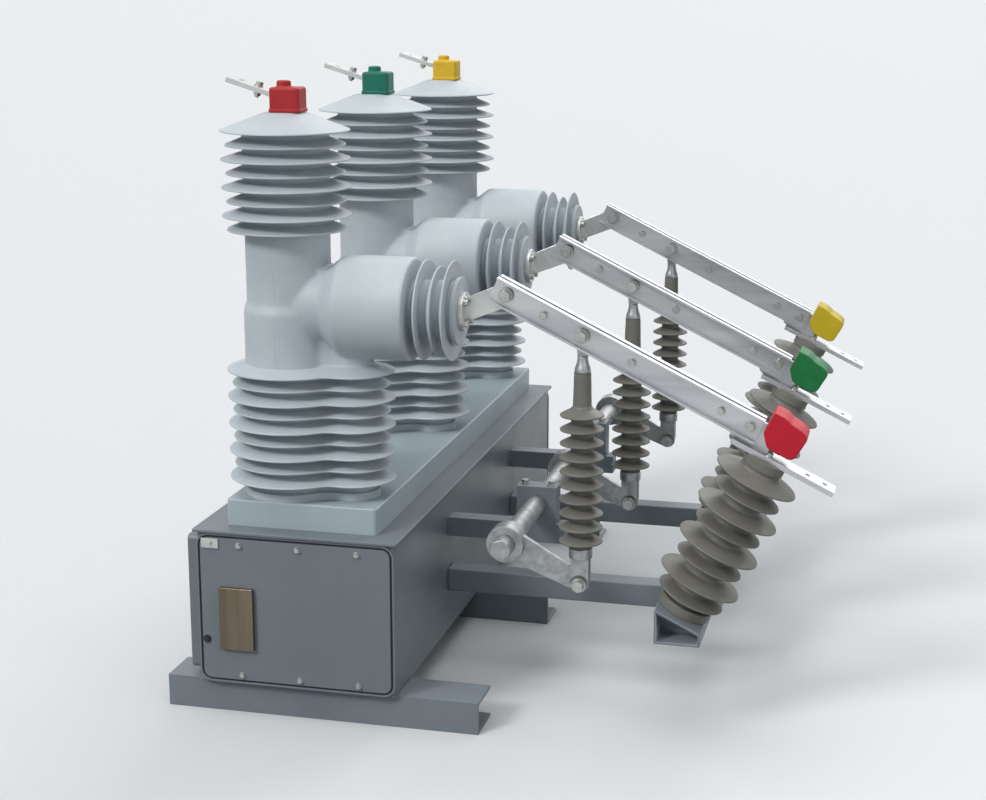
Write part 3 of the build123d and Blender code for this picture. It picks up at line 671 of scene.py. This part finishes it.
def roundedPlate(centre, half, footHalf, down, thickness, holeR):
    # A flat bar with one round end and a bored hole, drawn on its side and thickened along Y
    bm = bmesh.new()
    near = bm.verts.new((-half * mm, 0, 0))
    far = drawArc(bm, near, (0, 0, 0), (0, 1, 0), math.pi, flat["arcSteps"])
    foot = bm.verts.new((-footHalf * mm, 0, down * mm))
    footFar = bm.verts.new((footHalf * mm, 0, down * mm))
    for ends in ((foot, near), (footFar, far), (foot, footFar)):
        bm.edges.new(ends)
    bmesh.ops.create_circle(bm, cap_ends=False, segments=flat["holeSteps"], radius=holeR * mm,
                            matrix=Matrix.Rotation(math.pi / 2, 4, "X"))
    bmesh.ops.triangle_fill(bm, edges=bm.edges[:], use_beauty=True, use_dissolve=False)
    drawOut(bm, bm.faces[:], (0, thickness * mm, 0))
    bmesh.ops.translate(bm, vec=Vector(centre) - Vector((0, thickness * mm / 2, 0)), verts=bm.verts[:])
    bmesh.ops.recalc_face_normals(bm, faces=bm.faces[:])
    roundOff(bm, sharpEdges(bm), flat["edge"] * mm, segments=2)
    return bm


# The eye holds the blade's pin, and the fork's two ears stand either side of the crank
eye = {"half": 15, "footHalf": 10.5, "down": -80, "thickness": 12, "holeR": 10.3}
ear = {"half": 22, "footHalf": 22, "down": 64, "thickness": 8, "holeR": 10.5}
earOut = Vector((0, 12, 0)) * mm
rodFoot = rodTop - Vector((0, 0, rod["length"])) * mm
onEachPole(rodInsulator(), "rod_rubber", switchSilicone, "drive_rod_{}", "switch_insulator", "drive_insulator")
onEachPole(joined([rodFittings(), roundedPlate(rodTop, **eye), roundedPlate(rodFoot + earOut, **ear),
                   roundedPlate(rodFoot - earOut, **ear)]),
           "rod_fittings", hotDipZinc, "drive_rod_{}", "galvanised_steel")

# Along the blade, bolt size and distance from its middle: hinge, drive pin, three spacers, end contact
bladeBolt = ((0, 16, 18.2), (200, 16, 18.2), (99, 10, 12), (330, 10, 12), (561, 10, 12), (636, 12, 12))


def bladeBolts():
    # Heads on one side of the blade, nuts on the other
    bm = bmesh.new()
    for along, size, out in bladeBolt:
        for side in (-1, 1):
            at = hinge + alongBlade * along * mm + Vector((0, side * out, 0)) * mm
            boltInto(bm, at, (0, side, 0), size * mm, nut=side > 0)
    return bm


discBolt = {"size": 9, "circle": 35, "turns": (45, 135, 225, 315), "proud": 12}
barBolt = {"size": 9, "apart": 20, "above": 12}
padBolt = {"size": 10, "rise": 17, "root": 34, "along": 66, "half": 6}  # rise is the pad's angle


def fixedBolts():
    # Four on each lug's disc, two through each line bar into the post, one set on each upper pad
    bm = bmesh.new()
    disc = Vector((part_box("ct_housing_green")[1].x + discBolt["proud"] * mm, 0, housing["axis"] * mm))
    for turn in discBolt["turns"]:
        side = Vector((0, math.cos(math.radians(turn)), math.sin(math.radians(turn)))) * discBolt["circle"] * mm
        boltInto(bm, disc + side, (1, 0, 0), discBolt["size"] * mm)
    bar = hinge + alongBlade * post["past"] * mm + squareToBlade * (post["top"] + barBolt["above"]) * mm
    for side in (-1, 1):
        boltInto(bm, bar + Vector((0, side * barBolt["apart"], 0)) * mm, squareToBlade, barBolt["size"] * mm)
    rise = math.radians(padBolt["rise"])
    padWay = Vector((-math.cos(rise), 0, math.sin(rise)))
    padUp = Vector((math.sin(rise), 0, math.cos(rise)))
    root = Vector((0, 0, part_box("interrupter_pole_green")[1].z + padBolt["root"] * mm))
    hole = root + padWay * padBolt["along"] * mm
    boltInto(bm, hole + padUp * padBolt["half"] * mm, padUp, padBolt["size"] * mm)
    boltInto(bm, hole - padUp * padBolt["half"] * mm, -padUp, padBolt["size"] * mm, nut=True)
    return bm


shaftAxis = hinge - Vector((0, 0, rod["length"])) * mm
crankPin = {"size": 16, "out": 22.2}


def crankBolts():
    # The pin through the crank and the rod's fork, a head on one side and a nut on the other
    bm = bmesh.new()
    for side in (-1, 1):
        at = shaftAxis + alongBlade * rod["reach"] * mm + Vector((0, side * crankPin["out"], 0)) * mm
        boltInto(bm, at, (0, side, 0), crankPin["size"] * mm, nut=side > 0)
    return bm


onEachPole(bladeBolts(), "blade_bolts", platedBolt, "blade_{}", "galvanised_steel")
onEachPole(fixedBolts(), "fixed_bolts", platedBolt, "breaker", "galvanised_steel")
onEachPole(crankBolts(), "crank_bolts", platedBolt, "isolator_shaft", "galvanised_steel")
print("isolator finished")


# Sheet and sections that only have their edges eased: paint, slot and width
steelwork = {
    "cabinet": (cabinetPaint, "cabinet_paint", 4),
    # The cover plate's warm brown is a painted reflection, not its own colour
    "cover_plate": (plateReflectionPainted, "plate_metal", 1.5),
    "rail_front": (framePaint, "frame_paint", 3),
    "rail_middle": (framePaint, "frame_paint", 3),
    "rail_rear": (framePaint, "frame_paint", 3),
    "bearing_arm_front": (framePaint, "frame_paint", 3),
    "bearing_arm_rear": (framePaint, "frame_paint", 3),
    "post_arm_front": (framePaint, "frame_paint", 4),
    "post_arm_rear": (framePaint, "frame_paint", 4),
}
for node, (paint, slotName, width) in steelwork.items():
    finishPiece(softenedNode(node, width), f"{node}_finished", paint, "breaker", slotName, node)

beam = {"edge": 3, "wall": 5, "deep": 60, "endArea": 0.002}  # endArea in square metres


def hollowBeam():
    # Welded box section: its two ends stand open and show the wall
    bm = softenedNode("seat_beam", beam["edge"])
    ends = [face for face in bm.faces if abs(face.normal.y) > 0.99 and face.calc_area() > beam["endArea"]]
    bmesh.ops.inset_region(bm, faces=ends, thickness=beam["wall"] * mm, use_even_offset=True, use_boundary=True)
    for face in ends:
        drawOut(bm, [face], -face.normal * beam["deep"] * mm)
    # The drawn faces are the bottoms now, and what still closes the mouths comes off
    bmesh.ops.delete(bm, geom=[face for face in ends if face.is_valid], context="FACES")
    bmesh.ops.recalc_face_normals(bm, faces=bm.faces[:])
    return bm


shaftEdge = 3
finishPiece(hollowBeam(), "seat_beam_finished", framePaint, "breaker", "frame_paint", "seat_beam")
finishPiece(softenedNode("drive_shaft", shaftEdge), "drive_shaft_finished", hotDipZinc, "isolator_shaft",
            "galvanised_steel", "drive_shaft")


def endSheet(low, high, near, deep, corner, ease, width=0):
    # A sheet with round corners on the cabinet's end; with a width only its rim is left, as a frame.
    # low, high and near are in metres
    bm = bmesh.new()
    centre = Vector(((low[0] + high[0]) / 2, near, (low[1] + high[1]) / 2))
    size = Matrix.Diagonal((high[0] - low[0], high[1] - low[1], 1, 1))
    bmesh.ops.create_grid(bm, x_segments=1, y_segments=1, size=0.5,
                          matrix=Matrix.Translation(centre) @ Matrix.Rotation(math.pi / 2, 4, "X") @ size)
    roundOff(bm, bm.verts[:], corner * mm, segments=5, affect="VERTICES")
    if width:
        middle = bm.faces[:]
        bmesh.ops.inset_region(bm, faces=middle, thickness=width * mm, use_even_offset=True, use_boundary=True)
        bmesh.ops.delete(bm, geom=middle, context="FACES")
    drawOut(bm, bm.faces[:], (0, deep * mm, 0))
    bmesh.ops.recalc_face_normals(bm, faces=bm.faces[:])
    roundOff(bm, sharpEdges(bm), ease * mm, segments=2)
    return bm


cabLow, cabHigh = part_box("cabinet")
lidLow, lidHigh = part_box("pole_bed")
sideLow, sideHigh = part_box("side_cover")
bed = {"back": -131, "front": 248, "half": 817, "sunk": 2, "corner": 11, "edge": 4}
lid = {"thick": 8, "corner": 6, "edge": 2}
longCover = {"sunk": 2, "corner": 14, "edge": 4}
lidTop = cabHigh.z + lid["thick"] * mm
finishPiece(foldedBox((bed["back"] * mm, -bed["half"] * mm, lidTop - bed["sunk"] * mm),
                      (bed["front"] * mm, bed["half"] * mm, lidHigh.z), (0, 0, 1), bed["corner"], bed["edge"]),
            "raised_bed", bedPaint, "breaker", "bed_paint", "pole_bed")
finishPiece(foldedBox((lidLow.x, lidLow.y, cabHigh.z), (lidHigh.x, lidHigh.y, lidTop), (0, 0, 1),
                      lid["corner"], lid["edge"]),
            "cabinet_lid", cabinetPaint, "breaker", "cabinet_paint")
finishPiece(foldedBox(sideLow, sideHigh + Vector((longCover["sunk"], 0, 0)) * mm, (1, 0, 0),
                      longCover["corner"], longCover["edge"]),
            "long_cover", cabinetPaint, "breaker", "cabinet_paint", "side_cover")

# The lip round each end, the rubber in the gap (its black partly painted shade) and the cover itself; inset is
# from the lip's outer edge
cover = {"past": 2, "foot": 2, "top": 1, "corner": 30}
lip = {"inset": 0, "deep": 5, "ease": 1.2, "width": 5}
seal = {"inset": 4.5, "deep": 1.5, "ease": 0.4, "width": 7}
panel = {"inset": 10, "deep": 6, "ease": 2, "width": 0}


def coverSheet(side, sheet):
    inset = Vector((1, 1)) * sheet["inset"] * mm
    low = Vector((cabLow.x - cover["past"] * mm, cabLow.z + cover["foot"] * mm)) + inset
    high = Vector((cabHigh.x + cover["past"] * mm, cabHigh.z - cover["top"] * mm)) - inset
    return endSheet(low, high, side * cabHigh.y, side * sheet["deep"], cover["corner"] - sheet["inset"],
                    sheet["ease"], sheet["width"])


for end, side in {"front": -1, "rear": 1}.items():
    finishPiece(coverSheet(side, lip), f"cover_lip_{end}", cabinetPaint, "breaker", "cabinet_paint")
    # The seal's black is partly painted shade for the gap round the cover
    finishPiece(coverSheet(side, seal), f"cover_seal_{end}", blackRubberAndGapShade, "breaker", None)
    finishPiece(coverSheet(side, panel), f"cover_panel_{end}", cabinetPaint, "breaker", "cabinet_paint",
                f"end_cover_{end}")

endBolt = {"size": 7, "places": (0.22, 0.52, 0.82), "in": 26}  # places as shares of the cabinet's depth
longBolt = {"size": 7, "places": (-760, -380, 0, 380, 760), "top": 35, "foot": 40, "proud": 36}
bearingBolt = {"size": 11, "places": (-350, 350), "half": 35, "above": 46}


def coverBolts():
    # Both end covers, the long cover and the caps of the shaft's two bearings
    bm = bmesh.new()
    for side in (-1, 1):
        face = side * (cabHigh.y + panel["deep"] * mm)
        for place in endBolt["places"]:
            x = cabLow.x + place * (cabHigh.x - cabLow.x)
            for z in (cabHigh.z - endBolt["in"] * mm, cabLow.z + endBolt["in"] * mm):
                boltInto(bm, (x, face, z), (0, side, 0), endBolt["size"] * mm)
    for y in longBolt["places"]:
        for z in (cabHigh.z - longBolt["top"] * mm, cabLow.z + longBolt["foot"] * mm):
            boltInto(bm, (cabLow.x - longBolt["proud"] * mm, y * mm, z), (-1, 0, 0), longBolt["size"] * mm)
    for y in bearingBolt["places"]:
        for side in (-1, 1):
            at = shaftAxis + Vector((side * bearingBolt["half"], y, bearingBolt["above"])) * mm
            boltInto(bm, at, (0, 0, 1), bearingBolt["size"] * mm)
    return bm


coverFace = -cabHigh.y / mm - panel["deep"]
keep = {"low": (-180, 424), "high": (-136, 449), "thick": 4, "sunk": 1, "edge": 1.5, "bolt": 6}
lock = {"x": -173, "z": 192, "rim": 10, "rimSteps": 32, "core": 7, "coreSteps": 28, "thick": 3, "edge": 1}


def cornerKeep():
    # Small bright keep over the near cover's upper corner
    bm = bmesh.new()
    (lowX, lowZ), (highX, highZ) = keep["low"], keep["high"]
    front = coverFace - keep["thick"]
    boxInto(bm, Vector((lowX, front, lowZ)) * mm, Vector((highX, coverFace + keep["sunk"], highZ)) * mm,
            keep["edge"] * mm)
    boltInto(bm, Vector(((lowX + highX) / 2, front, (lowZ + highZ) / 2)) * mm, (0, -1, 0), keep["bolt"] * mm)
    return bm


def coverLock():
    # Round black quarter-turn lock in two steps
    bm = bmesh.new()
    for radius, out, steps in ((lock["rim"], 0, lock["rimSteps"]),
                               (lock["core"], lock["thick"], lock["coreSteps"])):
        rodInto(bm, Vector((lock["x"], coverFace - out, lock["z"])) * mm, (0, -1, 0), radius * mm,
                lock["thick"] * mm, steps, lock["edge"] * mm)
    return bm


finishPiece(coverBolts(), "cover_bolts", platedBolt, "breaker", "galvanised_steel")
finishPiece(cornerKeep(), "cover_keep", tinnedCopper, "breaker", "tinned_metal")
finishPiece(coverLock(), "cover_lock", blackRubberAndGapShade, "breaker", None)
print("cabinet and frame finished")


# The floor looks pale, but throws back only as much light as a darker workshop floor
studio = {"floor": "#d3d5d6", "bounce": "#74787a", "floorHalf": 150, "floorRoughness": 0.9,
          "seen": "#ecf0f1", "sky": "#e8edf2", "skyStrength": 0.34}


def seenDirectly(tree):
    # 1 for rays that show the backdrop: straight, mirrored or through glass
    ray = addNode(tree, "ShaderNodeLightPath", {}, {})
    some = addNode(tree, "ShaderNodeMath", {"operation": "MAXIMUM"}, {
        0: ray.outputs["Is Camera Ray"], 1: ray.outputs["Is Glossy Ray"]})
    return addNode(tree, "ShaderNodeMath", {"operation": "MAXIMUM"}, {
        0: some.outputs[0], 1: ray.outputs["Is Transmission Ray"]}).outputs[0]


bm = bmesh.new()
bmesh.ops.create_grid(bm, x_segments=1, y_segments=1, size=studio["floorHalf"])
floorMesh = bpy.data.meshes.new("floor")
bm.to_mesh(floorMesh)
bm.free()
floor = bpy.data.objects.new("floor", floorMesh)
bpy.context.scene.collection.objects.link(floor)
floorPaint = bpy.data.materials.new("plain studio floor")
floorPaint.use_nodes = True
ground = floorPaint.node_tree
tone = addNode(ground, "ShaderNodeMix", {"data_type": "RGBA"}, {
    0: seenDirectly(ground), 6: linearColour(studio["bounce"]), 7: linearColour(studio["floor"])})
ground.links.new(tone.outputs[2], ground.nodes["Principled BSDF"].inputs["Base Color"])
ground.nodes["Principled BSDF"].inputs["Roughness"].default_value = studio["floorRoughness"]
floorMesh.materials.append(floorPaint)

world = bpy.data.worlds.new("studio")
bpy.context.scene.world = world
world.use_nodes = True
air = world.node_tree
lit = air.nodes["Background"]
lit.inputs["Color"].default_value = linearColour(studio["sky"])
lit.inputs["Strength"].default_value = studio["skyStrength"]
seen = addNode(air, "ShaderNodeBackground", {}, {"Color": linearColour(studio["seen"]), "Strength": 1.0})
blend = addNode(air, "ShaderNodeMixShader", {}, {0: seenDirectly(air), 1: lit.outputs[0], 2: seen.outputs[0]})
air.links.new(blend.outputs[0], air.nodes["World Output"].inputs["Surface"])

# Suns stand for rows of ceiling lamps, the soft lamp for the workshop's open side; metres
suns = {
    "ceiling": {"way": (0.05, 0.1, -1), "power": 1.28, "spread": 60},
    "rear ceiling": {"way": (-0.25, -1, -0.75), "power": 1.10, "spread": 40},
    "key": {"way": (0.75, 1.05, -1.0), "power": 1.60, "spread": 18},
}
sideLamp = {"place": (3.6, -2.6, 1.9), "target": (0.6, 0, 0.7), "size": (1.4, 1.8), "power": 18}


def hangLamp(data, power, way, place=(0, 0, 0)):
    data.energy = power
    lamp = bpy.data.objects.new(data.name, data)
    lamp.location = place
    lamp.rotation_euler = Vector(way).to_track_quat("-Z", "Y").to_euler()
    bpy.context.scene.collection.objects.link(lamp)


for name, sun in suns.items():
    light = bpy.data.lights.new(name, "SUN")
    light.angle = math.radians(sun["spread"])
    hangLamp(light, sun["power"], sun["way"])
light = bpy.data.lights.new("side", "AREA")
light.shape = "RECTANGLE"
light.size, light.size_y = sideLamp["size"]
hangLamp(light, sideLamp["power"], Vector(sideLamp["target"]) - Vector(sideLamp["place"]), sideLamp["place"])

# The photograph's own viewpoint, turned towards the object and closed in on it; metres and degrees
view = {"place": (1.497, -4.722, 1.76), "yaw": 13.9, "pitch": -13.2, "lens": 66, "sensor": 36}
camera = bpy.data.objects.new("camera", bpy.data.cameras.new("camera"))
camera.data.lens = view["lens"]
camera.data.sensor_width = view["sensor"]
camera.location = view["place"]
yaw, pitch = math.radians(view["yaw"]), math.radians(view["pitch"])
look = Vector((-math.sin(yaw) * math.cos(pitch), math.cos(yaw) * math.cos(pitch), math.sin(pitch)))
camera.rotation_mode = "QUATERNION"
camera.rotation_quaternion = look.to_track_quat("-Z", "Y")
bpy.context.scene.collection.objects.link(camera)
bpy.context.scene.camera = camera
bpy.context.scene.view_settings.view_transform = "Standard"
print("studio and camera set")
